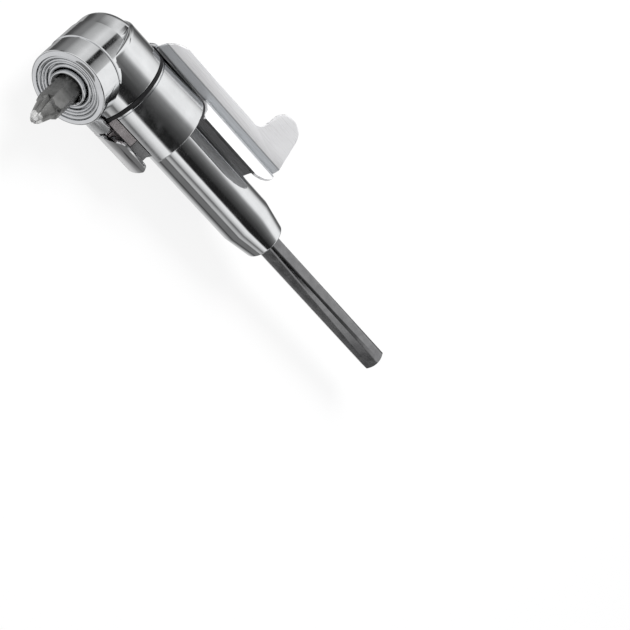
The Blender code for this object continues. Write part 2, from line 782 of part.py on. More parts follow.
def bit(grey, output):
    """Hexagon bit with a tapered, cross-shaped point."""
    hex_end = BARREL_FRONT + BIT_HEX_OUT
    body = hexagon("screwdriver_bit", HEX_CORNER, BIT_START, BIT_TIP, grey, output)
    neck = hex_end + HEX_CORNER - BIT_NECK_R
    limits = turned(
        "bit_limits",
        [
            (0, BIT_START),
            (HEX_CORNER - SHANK_CHAMFER, BIT_START),
            (HEX_CORNER + FIT, BIT_START + SHANK_CHAMFER + FIT),
            (HEX_CORNER + FIT, hex_end - FIT),
            (BIT_NECK_R, neck),
            (BIT_NECK_R, neck + OVERLAP / 2),
            (BIT_TIP_R, BIT_TIP - BIT_POINT),
            (BIT_END_R, BIT_TIP),
            (0, BIT_TIP),
        ],
        grey,
        output,
        HIDDEN_STEPS,
    )
    combine(body, limits, "INTERSECT")
    outline = [(FLUTE_FLOOR, 0), (FLUTE_OUT, FLUTE_HALF), (FLUTE_OUT, -FLUTE_HALF)]
    for quarter in range(4):
        lean = Matrix.Rotation(FLUTE_LEAN, 4, "Y")
        tip = Matrix.Translation((0, 0, BIT_TIP))
        frame = Matrix.Rotation(pi / 2 * quarter + pi / 4, 4, "Z") @ tip @ lean
        flute = extruded(
            f"flute_{quarter}", outline, -BIT_OUT / 2, BIT_POINT, frame, None, output
        )
        cut(body, flute, solver="MANIFOLD")


def collar(chrome, swivel):
    """Wide collar that turns on the sleeve, with a flat for the shoe and its bracket."""
    recess_r = SLEEVE_R - CLIP_GROOVE + FIT + CIRCLIP_WIDTH + FIT
    recess_start = COLLAR_END - COLLAR_RECESS
    profile = [
        (COLLAR_BORE, COLLAR_START),
        (COLLAR_FRONT_R - BARREL_EDGE / 2, COLLAR_START),
        (COLLAR_FRONT_R, COLLAR_START + BARREL_EDGE / 2),
    ]
    for back, inwards in quarter(COLLAR_EDGE):
        profile.append((COLLAR_RIM_R - inwards, COLLAR_END - back))
    profile += [
        (recess_r, COLLAR_END),
        (recess_r, recess_start),
        (COLLAR_BORE, recess_start),
    ]
    body = turned("swivel_collar", profile, chrome, swivel)
    reach, start, end = COLLAR_RIM_R + FIT, COLLAR_START - FIT, COLLAR_END + FIT
    cut(body, flat_side("collar_flat", COLLAR_FLAT, reach, start, end, swivel))
    for place, frame in enumerate(rivet_frames()):
        deep = COLLAR_FRONT_R - RIVET_DEPTH
        hole = cross_rod(
            f"collar_rivet_hole_{place}", RIVET_R + FIT, deep, COLLAR_RIM_R + OVERLAP, frame, swivel
        )
        cut(body, hole)


def rivet_frames():
    """Frames whose Z axis points outwards at each rivet of the saddle."""
    for along in (COLLAR_START + RIVET_INSET, COLLAR_END - RIVET_INSET):
        for angle in RIVET_ANGLES:
            shift = Matrix.Translation((0, 0, along))
            yield shift @ Matrix.Rotation(angle, 4, "Z") @ Matrix.Rotation(pi / 2, 4, "Y")


def rivets(steel, swivel):
    """Domed rivets that hold the saddle on the collar."""
    seat = SHEET_R + SHEET / 2 + FIT
    deep = COLLAR_FRONT_R - RIVET_DEPTH + FIT
    angles = [pi / 2 * step / EDGE_STEPS for step in range(EDGE_STEPS)]
    dome = [(RIVET_HEAD_R * cos(angle), seat + RIVET_HEAD * sin(angle)) for angle in angles]
    profile = [(0, deep), (RIVET_R, deep), (RIVET_R, seat), *dome, (0, seat + RIVET_HEAD)]
    copies("handle_rivet", turned_mesh(profile, PIN_STEPS), steel, swivel, rivet_frames())


def saddle(chrome, swivel):
    """Half-round saddle behind the body, with a strap round to the lever's side."""
    section = arc_section(SHEET_R, STRAP_EDGE, SADDLE_EDGE)
    total = section_lengths(section)[-1]
    per_angle = total / (SADDLE_EDGE - STRAP_EDGE)
    left = (SADDLE_LEFT_EDGE - STRAP_EDGE) * per_angle
    back = (SADDLE_BACK_EDGE - STRAP_EDGE) * per_angle
    strap_end = SADDLE_START + STRAP_WIDTH
    collar_end = COLLAR_END + FIT
    corner = SADDLE_CORNER
    outline = rounded(
        [
            (0, SADDLE_START, corner / 2),
            (total, SADDLE_START, 0),
            (total, HANDLE_END, 0),
            (back, HANDLE_END, corner * 2),
            (back, collar_end, corner / 2),
            (left, collar_end, corner / 2),
            (left, strap_end, corner / 4),
            (0, strap_end, corner / 2),
        ]
    )
    body = bent_sheet("clamp_saddle", outline, section, chrome, swivel)
    for place, frame in enumerate(rivet_frames()):
        hole = cross_rod(
            f"saddle_rivet_hole_{place}", RIVET_R + FIT, SLEEVE_R, SHEET_R + OVERLAP, frame, swivel
        )
        cut(body, hole, solver="MANIFOLD")


def handle(chrome, swivel):
    """Stepped plate with a curved lip beside the body and a finger hook at its end."""
    lip = arc_section(SHEET_R, LIP_EDGE, 0)
    out, up = SHEET_R + STEP_OUT, STEP_UP
    section = [*lip, (out, up), (HOOK_TIP + OVERLAP, up)]
    lengths = section_lengths(section)
    root, step_end = lengths[len(lip) - 1], lengths[len(lip)]
    fin = step_end + FIN_EDGE - out
    tip = step_end + HOOK_TIP - out
    start = COLLAR_END + FIT
    outline = rounded(
        [
            (0, start, LIP_TOP_CORNER),
            (root, start, 0),
            (root, SADDLE_START, FIN_ROOT_CORNER),
            (step_end, SADDLE_START + FIN_TOP_RISE, FIN_TOP_CORNER),
            (fin, SADDLE_START + FIN_TOP_RUN, FIN_SHOULDER),
            (fin, HOOK_START, HOOK_THROAT),
            (tip, HOOK_START + HOOK_SLANT, HOOK_TIP_CORNER),
            (tip, HANDLE_END - HOOK_FOOT_RISE, HOOK_FOOT_CORNER),
            (step_end, HANDLE_END, FOOT_CORNER),
            (0, HANDLE_END, LIP_CORNER),
        ]
    )
    bent_sheet("handle_plate", outline, section, chrome, swivel)


def bracket(pinkish, steel, swivel):
    """Bridge on the collar's flat with two ears for the lever's pin."""
    foot_top = -COLLAR_FLAT - FIT
    plate_in = -COLLAR_BORE - FIT
    plate_out = plate_in - BRACKET_PLATE
    half = BRACKET_WIDTH / 2
    start = COLLAR_START + FIT
    end = LEVER_PIN_ALONG + KNUCKLE_R + LEVER_ROOM
    body = block("lever_bracket", (plate_out, -half, start), (plate_in, half, end), pinkish, swivel)
    for side in (-1, 1):
        edges = sorted((side * half, side * (half - FOOT)))
        foot = block(
            f"bracket_foot_{side + 1}",
            (plate_in - BRACKET_PLATE / 2, edges[0], start),
            (foot_top, edges[1], end),
            None,
            swivel,
        )
        near = KNUCKLE_WIDTH / 2 + FIT
        edges = sorted((side * near, side * (near + EAR_THICK)))
        ear = block(
            f"bracket_ear_{side + 1}",
            (-LEVER_PIN_OUT, edges[0], LEVER_PIN_ALONG - EAR),
            (plate_out + BRACKET_PLATE / 2, edges[1], LEVER_PIN_ALONG + EAR),
            None,
            swivel,
        )
        eye = cross_rod(f"bracket_eye_{side + 1}", EAR, edges[0], edges[1], pin_frame(), swivel)
        fuse(body, foot, ear, eye)
    reach = KNUCKLE_WIDTH / 2 + FIT + EAR_THICK
    hole = cross_rod("bracket_pin_hole", LEVER_PIN_R + RUN, -reach - FIT, reach + FIT, pin_frame(), swivel)
    cut(body, hole)
    cross_rod("lever_pin", LEVER_PIN_R, -reach, reach, pin_frame(), swivel, steel)


def pin_frame():
    """Frame whose Z axis is the lever's hinge, under the swivel."""
    place = Matrix.Translation((-LEVER_PIN_OUT, 0, LEVER_PIN_ALONG))
    return place @ Matrix.Rotation(-pi / 2, 4, "X")


def shoe(grey, swivel):
    """Ribbed shoe that bears on the sleeve through the collar's flat."""
    start = LEVER_PIN_ALONG + KNUCKLE_R + LEVER_ROOM + FIT * 2
    near = -COLLAR_FLAT - FIT
    crest = -COLLAR_BORE - SHOE_RISE
    valley = crest + RIB_DEPTH
    pitch = (SHOE_END - start) / (2 * SHOE_RIBS + 1)
    outline = [(near, start), (near, SHOE_END)]
    for rib in range(SHOE_RIBS + 1):
        top = SHOE_END - 2 * rib * pitch
        outline += [(crest, top), (crest, top - pitch)]
        if rib < SHOE_RIBS:
            outline += [(valley, top - pitch), (valley, top - 2 * pitch)]
    frame = Matrix.Rotation(pi / 2, 4, "X")
    half = SHOE_WIDTH / 2
    body = extruded("brake_shoe", outline, -half, half, frame, grey, swivel)
    bed = rod("shoe_bed", COLLAR_BORE, start - FIT, SHOE_END + FIT, None, swivel, ROUND_STEPS)
    cut(body, bed)


def lever(chrome, pivot):
    """Trough-shaped lever with the knuckle that turns on the pin."""
    shift = (LEVER_PIN_OUT, 0, -LEVER_PIN_ALONG)
    section = arc_section(SHEET_R, LEVER_EDGE, LEVER_FAR_EDGE)
    total = section_lengths(section)[-1]
    per_angle = total / (LEVER_FAR_EDGE - LEVER_EDGE)
    slant = (LEVER_SLANT_EDGE - LEVER_EDGE) * per_angle
    corner = LEVER_CORNER
    outline = rounded(
        [
            (0, LEVER_START + LEVER_SLANT, corner / 2),
            (slant, LEVER_START, corner / 2),
            (total, LEVER_START, corner / 4),
            (total, LEVER_END, corner / 2),
            (0, LEVER_END, corner),
        ]
    )
    body = bent_sheet("lock_lever", outline, section, chrome, pivot, shift)
    frame = Matrix.Rotation(-pi / 2, 4, "X")
    half = KNUCKLE_WIDTH / 2
    knuckle = cross_rod("lever_knuckle", KNUCKLE_R, -half, half, frame, pivot)
    skin = SHEET_R - LEVER_PIN_OUT
    web_half = half - FIT / 2
    web = block("lever_web", (-skin, -web_half, 0), (KNUCKLE_R, web_half, KNUCKLE_R), None, pivot)
    fuse(body, knuckle, web, solver="MANIFOLD")
    hole = cross_rod("lever_hole", LEVER_PIN_R + RUN, -half - FIT, half + FIT, frame, pivot)
    cut(body, hole, solver="MANIFOLD")


def main():
    clear_scene()
    chrome = material("chrome", (0.72, 0.73, 0.74), 0.12, 1)
    pale = material("polished_sheet", (0.86, 0.87, 0.88), 0.2, 1)
    dark = material("blackened_steel", (0.07, 0.07, 0.075), 0.42, 0.9)
    steel = material("bright_steel", (0.56, 0.57, 0.58), 0.3, 1)
    bronze = material("bearing_bronze", (0.55, 0.38, 0.2), 0.4, 1)
    rubber = material("black_seal", (0.015, 0.015, 0.016), 0.6, 0)
    grey = material("grey_bit_steel", (0.28, 0.28, 0.28), 0.5, 0.85)
    shoe_grey = material("shoe_grey", (0.2, 0.2, 0.2), 0.6, 0.3)
    pinkish = material("bracket_grey", (0.42, 0.39, 0.39), 0.4, 0.8)
    magnetic = material("magnet_nickel", (0.5, 0.5, 0.5), 0.3, 1)

    to_shank = Matrix(((0, 0, -1, CROSSING), (0, 1, 0, 0), (1, 0, 0, 0), (0, 0, 0, 1)))
    shaft = empty("shaft_axis", to_shank)
    output = empty("output_axis", Matrix.Rotation(-SHAFT_ANGLE, 4, "X"), shaft)
    swivel = empty("swivel_axis", Matrix.Rotation(HANDLE_REST, 4, "Z"), shaft)
    hinge = Matrix.Translation((-LEVER_PIN_OUT, 0, LEVER_PIN_ALONG))
    pivot = empty("lever_axis", hinge, swivel)

    head(chrome, shaft, output, swivel)
    sleeve(chrome, shaft)
    lock_pins(steel, shaft)
    body_rings(rubber, bronze, steel, shaft, output, swivel)
    input_shaft(dark, steel, bronze, shaft)
    spindle(chrome, steel, bronze, magnetic, output)
    bit(grey, output)
    collar(chrome, swivel)
    saddle(pale, swivel)
    handle(pale, swivel)
    rivets(steel, swivel)
    bracket(pinkish, steel, swivel)
    shoe(shoe_grey, swivel)
    lever(chrome, pivot)


main()
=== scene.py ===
"""Dresses the angle adapter: plated, blackened and moulded finishes in a plain pale studio."""

import json
from math import cos, pi, radians, sin

import bmesh
import bpy
from mathutils import Matrix, Vector


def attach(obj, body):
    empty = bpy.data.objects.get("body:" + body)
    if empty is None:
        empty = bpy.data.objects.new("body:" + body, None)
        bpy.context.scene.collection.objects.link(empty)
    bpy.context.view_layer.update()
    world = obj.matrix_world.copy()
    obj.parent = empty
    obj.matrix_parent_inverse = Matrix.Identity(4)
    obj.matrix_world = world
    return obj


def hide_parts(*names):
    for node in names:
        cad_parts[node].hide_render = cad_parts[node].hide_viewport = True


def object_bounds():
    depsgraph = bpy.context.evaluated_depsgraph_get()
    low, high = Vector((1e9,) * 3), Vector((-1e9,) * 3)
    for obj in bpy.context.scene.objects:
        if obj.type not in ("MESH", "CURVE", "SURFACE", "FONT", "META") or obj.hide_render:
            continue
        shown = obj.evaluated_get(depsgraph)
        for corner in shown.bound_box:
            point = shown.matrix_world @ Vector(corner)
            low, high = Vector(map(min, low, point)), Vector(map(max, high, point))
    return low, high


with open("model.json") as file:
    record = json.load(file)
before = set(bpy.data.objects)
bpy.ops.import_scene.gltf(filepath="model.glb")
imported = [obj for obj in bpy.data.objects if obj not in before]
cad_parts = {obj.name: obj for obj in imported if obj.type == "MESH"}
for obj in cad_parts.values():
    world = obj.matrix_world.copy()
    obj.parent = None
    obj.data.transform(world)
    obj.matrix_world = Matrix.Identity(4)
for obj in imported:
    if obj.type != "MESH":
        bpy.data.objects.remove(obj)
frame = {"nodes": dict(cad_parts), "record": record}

MM = 0.001
cad_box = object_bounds()


class Wire:
    """A shader socket that Python's arithmetic can be written on."""

    def __init__(self, tree, socket):
        self.tree = tree
        self.socket = socket

    def maths(self, operation, *values):
        return node(self.tree, "ShaderNodeMath", {"operation": operation}, values)

    def __add__(self, other):
        return self.maths("ADD", self, other)

    def __sub__(self, other):
        return self.maths("SUBTRACT", self, other)

    def __rsub__(self, other):
        return self.maths("SUBTRACT", other, self)

    def __mul__(self, other):
        return self.maths("MULTIPLY", self, other)

    def along(self, direction):
        """How far this vector reaches in a direction."""
        settings = {"operation": "DOT_PRODUCT"}
        return node(self.tree, "ShaderNodeVectorMath", settings, (self, direction), "Value")

    def rise(self, low, high):
        """0 below the low value, 1 above the high one, and a smooth step between."""
        inputs = {"Value": self, "From Min": low, "From Max": high}
        return node(self.tree, "ShaderNodeMapRange", {"interpolation_type": "SMOOTHSTEP"}, inputs)

    def hump(self, middle, half, soft):
        """1 within half of the middle value, falling to 0 over the soft width."""
        offset = self - middle
        return 1 - offset.maths("ABSOLUTE", offset).rise(half, half + soft)


def node(tree, kind, settings=None, inputs=(), output=0):
    """Add a node, set it up, feed its sockets with values or wires, and hand back one output."""
    made = tree.nodes.new(kind)
    for name, value in (settings or {}).items():
        if name == "stops":
            ramp = made.color_ramp
            while len(ramp.elements) > 1:
                ramp.elements.remove(ramp.elements[-1])
            for index, (place, level) in enumerate(value):
                stop = ramp.elements[0] if index == 0 else ramp.elements.new(place)
                stop.position = place
                stop.color = (level, level, level, 1)
        else:
            setattr(made, name, value)
    pairs = inputs.items() if isinstance(inputs, dict) else enumerate(inputs)
    for key, value in pairs:
        if isinstance(value, Wire):
            tree.links.new(value.socket, made.inputs[key])
        else:
            made.inputs[key].default_value = value
    return Wire(tree, made.outputs[output])


class Finish:
    """A material with its Principled shader and the wires that vary over the surface."""

    def __init__(self, name, colour, roughness, metallic=1.0):
        self.material = bpy.data.materials.new(name)
        self.material.use_nodes = True
        self.tree = self.material.node_tree
        self.shader = self.tree.nodes["Principled BSDF"]
        self.shader.inputs["Base Color"].default_value = (*colour, 1)
        self.shader.inputs["Roughness"].default_value = roughness
        self.shader.inputs["Metallic"].default_value = metallic
        self.place = self.node("ShaderNodeTexCoord", output="Object")

    def node(self, kind, settings=None, inputs=(), output=0):
        return node(self.tree, kind, settings, inputs, output)

    def noise(self, stretch, detail=2.0, offset=(0, 0, 0)):
        """Noise from 0 to 1, with its cells per metre given along each axis."""
        spread = self.node(
            "ShaderNodeMapping", inputs={"Vector": self.place, "Location": offset, "Scale": stretch}
        )
        settings = {"noise_dimensions": "3D"}
        return self.node(
            "ShaderNodeTexNoise", settings, {"Vector": spread, "Scale": 1.0, "Detail": detail}
        )

    def between(self, mask, low, high):
        """Map the middle of a noise onto a range of numbers."""
        inputs = {"Value": mask, "From Min": 0.3, "From Max": 0.7, "To Min": low, "To Max": high}
        return self.node("ShaderNodeMapRange", inputs=inputs)

    def tint(self, mask, dark, light):
        """Mix two colours by a mask."""
        settings = {"data_type": "RGBA"}
        ends = [end if isinstance(end, Wire) else (*end, 1) for end in (dark, light)]
        inputs = {0: mask, 6: ends[0], 7: ends[1]}
        return self.node("ShaderNodeMix", settings, inputs, output=2)

    def bump(self, height, strength, depth):
        inputs = {"Height": height, "Strength": strength, "Distance": depth}
        self.feed("Normal", self.node("ShaderNodeBump", inputs=inputs))

    def feed(self, name, wire):
        self.tree.links.new(wire.socket, self.shader.inputs[name])


def plating(name, colour, lines):
    """Mirror-bright plating with faint turning lines, smudges and hairline wear."""
    made = Finish(name, colour, 0.06)
    turning = made.noise(lines, 3.0)
    smudge = made.noise((260, 260, 260), 3.0, (3, 1, 4))
    made.feed("Roughness", made.between(smudge, 0.035, 0.11) + made.between(turning, 0, 0.03))
    darker = tuple(0.9 * channel for channel in colour)
    made.feed("Base Color", made.tint(made.between(smudge, 0, 1), darker, colour))
    made.bump(turning, 0.04, 0.01 * MM)
    return made.material


# Directions across the handle's fin and across the free edge of its lip, and places measured along them,
# where shade, a reflection and dark lines are painted; and the radius within which shade is painted inside
# the saddle
FIN_SIDE = (0, -0.71934, 0.69466)
STEP_FOOT, STEP_MIDDLE, STEP_TOP = 13.15 * MM, 14.3 * MM, 15.5 * MM
STEP_HALF, STEP_SOFT, SHADE_SOFT = 0.95 * MM, 0.3 * MM, 3.4 * MM
LINE_HALF, LINE_SOFT = 0.1 * MM, 0.15 * MM
LIP_EDGE_SIDE = (0, 0.99866, 0.05234)
LIP_EDGE = (-0.3 * MM, -0.15 * MM)
SADDLE_INSIDE = (12.75 * MM, 12.9 * MM)


def sheet_metal(name, colour, metallic, step_shade):
    """Bright rolled sheet: satin grain along the sheet, soft clouding, painted shade in its bends with
    painted dark lines along them, a painted reflection on the step, a painted dark reflection along the
    lip's free edge and painted shade inside the saddle.
    """
    made = Finish(name, colour, 0.3, metallic)
    grain = made.noise((180, 5200, 5200), 3.0)
    cloud = made.noise((90, 140, 140), 2.0)
    made.feed("Roughness", made.between(grain, 0.24, 0.34) + made.between(cloud, -0.03, 0.04))
    darker = tuple(0.93 * channel for channel in colour)
    clouded = made.tint(made.between(cloud, 0, 1), darker, colour)
    across = made.place.along(FIN_SIDE)
    # Painted shade, fading out from the top of the step across the fin
    soft_shade = across.hump(STEP_TOP, 0, SHADE_SOFT) * step_shade * 0.6
    soft_shaded = made.tint(soft_shade, clouded, (0.5, 0.5, 0.5))
    # Painted reflection: the step between the fin and the lip is tinted bluish grey
    painted_step_reflection = across.hump(STEP_MIDDLE, STEP_HALF, STEP_SOFT) * step_shade
    shaded = made.tint(painted_step_reflection, soft_shaded, (0.55, 0.57, 0.59))
    # Painted shade: thin dark lines along the foot and the top of the step
    lines = across.hump(STEP_FOOT, LINE_HALF, LINE_SOFT) + across.hump(STEP_TOP, LINE_HALF, LINE_SOFT)
    bend_lines_shaded = made.tint(lines * step_shade, shaded, (0.2, 0.21, 0.22))
    # Painted dark reflection along the lip's free edge
    painted_edge_reflection = made.place.along(LIP_EDGE_SIDE).rise(*LIP_EDGE) * step_shade
    edge_reflected = made.tint(painted_edge_reflection * 1.3, bend_lines_shaded, (0.03, 0.03, 0.03))
    # Painted shade inside the saddle, within a radius of the shaft's axis, where the handle's painted marks
    # are off
    flat = made.node("ShaderNodeVectorMath", {"operation": "MULTIPLY"}, (made.place, (0, 1, 1)))
    from_shaft = made.node("ShaderNodeVectorMath", {"operation": "LENGTH"}, (flat,), "Value")
    inside = (1 - from_shaft.rise(*SADDLE_INSIDE)) * (1 - step_shade)
    made.feed("Base Color", made.tint(inside, edge_reflected, (0.34, 0.34, 0.35)))
    made.bump(grain, 0.08, 0.01 * MM)
    return made.material


# The bit's direction, and where its worn tip starts along it, from the crossing of the axes
BIT_SIDE = (0.258819, 0.965926, 0)
CROSSING_ALONG_BIT = 31.576
WORN_START = 28.6
BIT_WORN = (CROSSING_ALONG_BIT + WORN_START) * MM
WORN_SOFT = 0.6 * MM
WORN_UNEVEN = 2.5 * MM


def satin_steel(name, colour, light, roughness, cells, metallic=1.0):
    """Steel with a blackened, phosphated or machined skin that is mottled and fine-grained."""
    made = Finish(name, colour, roughness, metallic)
    mottle = made.noise((cells / 6, cells / 6, cells / 6), 4.0)
    grain = made.noise((cells, cells, cells), 2.0, (2, 7, 1))
    mottled = made.tint(made.between(mottle, 0, 1), colour, light)
    along = made.place.along(BIT_SIDE) + (mottle - 0.5) * WORN_UNEVEN
    worn = along.rise(BIT_WORN, BIT_WORN + WORN_SOFT)
    made.feed("Base Color", made.tint(worn, mottled, (0.85, 0.85, 0.84)))
    spread = made.between(grain, roughness - 0.07, roughness + 0.07)
    made.feed("Roughness", spread + made.between(mottle, -0.04, 0.04))
    made.bump(grain, 0.12, 0.02 * MM)
    return made.material


def moulded(name, colour, light, roughness):
    """Matte moulded plastic or rubber with a fine skin."""
    made = Finish(name, colour, roughness, 0.0)
    skin = made.noise((2600, 2600, 2600), 2.0)
    dust = made.noise((320, 320, 320), 3.0)
    made.feed("Base Color", made.tint(made.between(dust, 0, 1), colour, light))
    made.feed("Roughness", made.between(skin, roughness - 0.08, roughness + 0.08))
    made.bump(skin, 0.2, 0.03 * MM)
    return made.material


TURNED_ON_SHAFT = (5200, 240, 240)
TURNED_ON_HEAD = (900, 5200, 240)
finishes = {
    "head_chrome": plating("head_chrome", (0.78, 0.79, 0.8), TURNED_ON_HEAD),
    "sleeve_chrome": plating("sleeve_chrome", (0.78, 0.79, 0.8), TURNED_ON_SHAFT),
    "collar_chrome": plating("collar_chrome", (0.78, 0.79, 0.8), TURNED_ON_SHAFT),
    "lever_chrome": plating("lever_chrome", (0.8, 0.8, 0.81), TURNED_ON_SHAFT),
    "spindle_chrome": plating("spindle_chrome", (0.7, 0.71, 0.72), TURNED_ON_HEAD),
    # The last number is how strongly the handle's painted shade, reflection and dark lines show; where it is
    # 0 the painted shade inside the saddle shows
    "saddle_sheet": sheet_metal("saddle_sheet", (0.8, 0.81, 0.82), 1.0, 0.0),
    "handle_sheet": sheet_metal("handle_sheet", (0.86, 0.86, 0.865), 0.08, 0.75),
    "shank_black": satin_steel("shank_black", (0.19, 0.19, 0.195), (0.26, 0.26, 0.265), 0.17, 3000),
    "bit_grey": satin_steel("bit_grey", (0.2, 0.2, 0.195), (0.29, 0.29, 0.285), 0.42, 3800, 0.85),
    "bush_steel": satin_steel("bush_steel", (0.66, 0.67, 0.68), (0.76, 0.77, 0.78), 0.18, 4200),
    "rivet_steel": satin_steel("rivet_steel", (0.55, 0.56, 0.57), (0.64, 0.65, 0.66), 0.24, 3600),
    "inner_steel": satin_steel("inner_steel", (0.5, 0.51, 0.52), (0.6, 0.61, 0.62), 0.3, 3600),
    "bracket_grey": satin_steel("bracket_grey", (0.5, 0.46, 0.46), (0.6, 0.56, 0.56), 0.4, 3000, 0.6),
    "shoe_grey": moulded("shoe_grey", (0.26, 0.26, 0.26), (0.34, 0.34, 0.34), 0.6),
    "seal_black": moulded("seal_black", (0.004, 0.004, 0.005), (0.012, 0.012, 0.013), 0.75),
    "bronze": satin_steel("bronze", (0.5, 0.34, 0.17), (0.6, 0.42, 0.22), 0.4, 3400),
    "magnet_nickel": satin_steel("magnet_nickel", (0.5, 0.5, 0.49), (0.58, 0.58, 0.57), 0.3, 3600),
}
slots = {entry["node"]: entry["material_slot"] for entry in frame["record"]["subparts"]}
for name, solid in frame["nodes"].items():
    solid.data.materials.clear()
    solid.data.materials.append(finishes[slots[name]])
bodies = frame["record"]["behaviour"]["bodies"]
body_names = {name: body for body, names in bodies.items() for name in names}

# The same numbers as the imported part's, in millimetres
CROSSING = 122
SHAFT_ANGLE = 105
HANDLE_TURN = -46
SHARP_EDGE = radians(30)
ROUND_STEPS = 192
EDGE_STEPS = 8
WELD = 0.001 * MM
TO_SHANK = Matrix(((0, 0, -1, CROSSING * MM), (0, 1, 0, 0), (1, 0, 0, 0), (0, 0, 0, 1)))
TO_BIT = TO_SHANK @ Matrix.Rotation(radians(-SHAFT_ANGLE), 4, "X")


def piece(name, shape, look, body, node_name):
    """Make a smooth piece of the object that rides a body and stands for a node of the solids."""
    bmesh.ops.recalc_face_normals(shape, faces=shape.faces)
    mesh = bpy.data.meshes.new(name)
    shape.to_mesh(mesh)
    shape.free()
    mesh.materials.append(finishes[look])
    mesh.shade_smooth()
    mesh.set_sharp_from_angle(angle=SHARP_EDGE)
    made = bpy.data.objects.new(name, mesh)
    bpy.context.collection.objects.link(made)
    weighting = made.modifiers.new("normals", "WEIGHTED_NORMAL")
    weighting.keep_sharp = True
    ready = made.evaluated_get(bpy.context.evaluated_depsgraph_get())
    made.data = bpy.data.meshes.new_from_object(ready)
    made.modifiers.clear()
    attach(made, body)
    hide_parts(node_name)


def smoothed(node_name):
    """Show a node of the solids by a joined, smooth copy of its surface."""
    shape = bmesh.new()
    shape.from_mesh(frame["nodes"][node_name].data)
    bmesh.ops.remove_doubles(shape, verts=shape.verts, dist=WELD)
    piece(f"{node_name}_skin", shape, slots[node_name], body_names[node_name], node_name)


def turned(profile, place):
    """Spin a closed profile of (radius, height) points in millimetres about the local Z axis."""
    shape = bmesh.new()
    verts = [shape.verts.new((radius * MM, 0, height * MM)) for radius, height in profile]
    edges = [shape.edges.new(pair) for pair in zip(verts, verts[1:] + verts[:1])]
    bmesh.ops.spin(
        shape, geom=verts + edges, axis=(0, 0, 1), angle=2 * pi, steps=ROUND_STEPS, use_merge=True
    )
    bmesh.ops.remove_doubles(shape, verts=shape.verts, dist=WELD)
    bmesh.ops.transform(shape, matrix=place, verts=shape.verts)
    return shape


def crown(inner, outer, top):
    """Half-round front edge of a rib, from its rim to its bore."""
    middle, half = (inner + outer) / 2, (outer - inner) / 2
    angles = [pi * step / EDGE_STEPS for step in range(EDGE_STEPS + 1)]
    return [(middle + half * cos(angle), top - half * (1 - sin(angle))) for angle in angles]


def bead(inner, outer, start, top):
    """Profile of a ring whose front edge is rounded from its bore to its rim."""
    return [(inner, start), (outer, start), *crown(inner, outer, top)]


def round_edge(radius):
    """Offsets (inwards, back) of a quarter round, from its flat end to its full radius."""
    angles = [pi / 2 * step / EDGE_STEPS for step in range(EDGE_STEPS + 1)]
    return [(radius * (1 - sin(angle)), radius * (1 - cos(angle))) for angle in angles]


def rounded_back(outer, start, radius):
    """Rounded rear edge of a turned piece."""
    return [(outer - inwards, start + rise) for inwards, rise in round_edge(radius)]


def rounded_front(outer, end, radius):
    """Rounded front edge of a turned piece."""
    return [(outer - back, end - inwards) for inwards, back in round_edge(radius)]


def combined(*steps):
    """Join or cut shapes in turn: the first shape, then (operation, shape) pairs."""
    solids = []
    for step in steps:
        operation, shape = step if isinstance(step, tuple) else ("UNION", step)
        mesh = bpy.data.meshes.new("solid")
        bmesh.ops.recalc_face_normals(shape, faces=shape.faces)
        shape.to_mesh(mesh)
        shape.free()
        solid = bpy.data.objects.new("solid", mesh)
        bpy.context.collection.objects.link(solid)
        if solids:
            boolean = solids[0].modifiers.new("solid", "BOOLEAN")
            boolean.operation = operation
            boolean.object = solid
        solids.append(solid)
    ready = solids[0].evaluated_get(bpy.context.evaluated_depsgraph_get())
    result = bmesh.new()
    result.from_mesh(ready.to_mesh())
    for solid in solids:
        bpy.data.objects.remove(solid, do_unlink=True)
    return result


def slab(low, high, place):
    """Block between two corners given in millimetres in a frame."""
    shape = bmesh.new()
    bmesh.ops.create_cube(shape, size=1)
    low, high = Vector(low) * MM, Vector(high) * MM
    bmesh.ops.scale(shape, vec=high - low, verts=shape.verts)
    bmesh.ops.translate(shape, vec=(low + high) / 2, verts=shape.verts)
    bmesh.ops.transform(shape, matrix=place, verts=shape.verts)
    return shape


def lever_flat(depth, start, end):
    """Block that cuts a flat, on the lever's side, into a piece round the shaft."""
    turn = TO_SHANK @ Matrix.Rotation(radians(HANDLE_TURN), 4, "Z")
    return slab((-25, -13, start), (-depth, 13, end), turn)


SMOOTHED = (
    "body_sleeve", "clamp_saddle", "handle_plate", "lock_lever",
    "output_spindle", "seal_ring", "input_shaft", "screwdriver_bit", "lever_bracket",
    "handle_rivet_1", "handle_rivet_2", "handle_rivet_3", "handle_rivet_4", "brake_shoe",
)
for name in SMOOTHED:
    smoothed(name)

# Head casting: profiles of (radius, height) for its barrel with a raised band, its neck and its hollows
BARREL_R, BARREL_BACK, BARREL_FRONT = 10.4, -7.3, 15
BARREL_ROUND, BARREL_EDGE = 2.5, 0.5
BAND = ((10.4, -0.75), (10.6, -0.35), (10.6, 7.0), (10.58, 7.2), (10.25, 7.35), (10.25, 7.6), (10.4, 7.75))
MOUTH = ((9.0, 15.0), (9.0, 13.2), (8.7, 13.2), (8.7, 8.0), (0, 8.0))
NECK_R, NECK_START, NECK_END, NECK_FLAT = 12.2, -2.2, 9.6, 9.9
NECK_ROUND, NECK_EDGE = 1.2, 0.3
CAVITY = ((0, -5.6), (8.4, -5.6), (8.4, 9.0), (0, 9.0))
PASSAGE = ((0, 0), (8.4, 0), (8.4, 6.7), (9.2, 6.7), (9.2, 12), (0, 12))
barrel = [(0, BARREL_BACK), *rounded_back(BARREL_R, BARREL_BACK, BARREL_ROUND), *BAND]
barrel += [*rounded_front(BARREL_R, BARREL_FRONT, BARREL_EDGE), *MOUTH]
neck = [(0, NECK_START), *rounded_back(NECK_R, NECK_START, NECK_ROUND)]
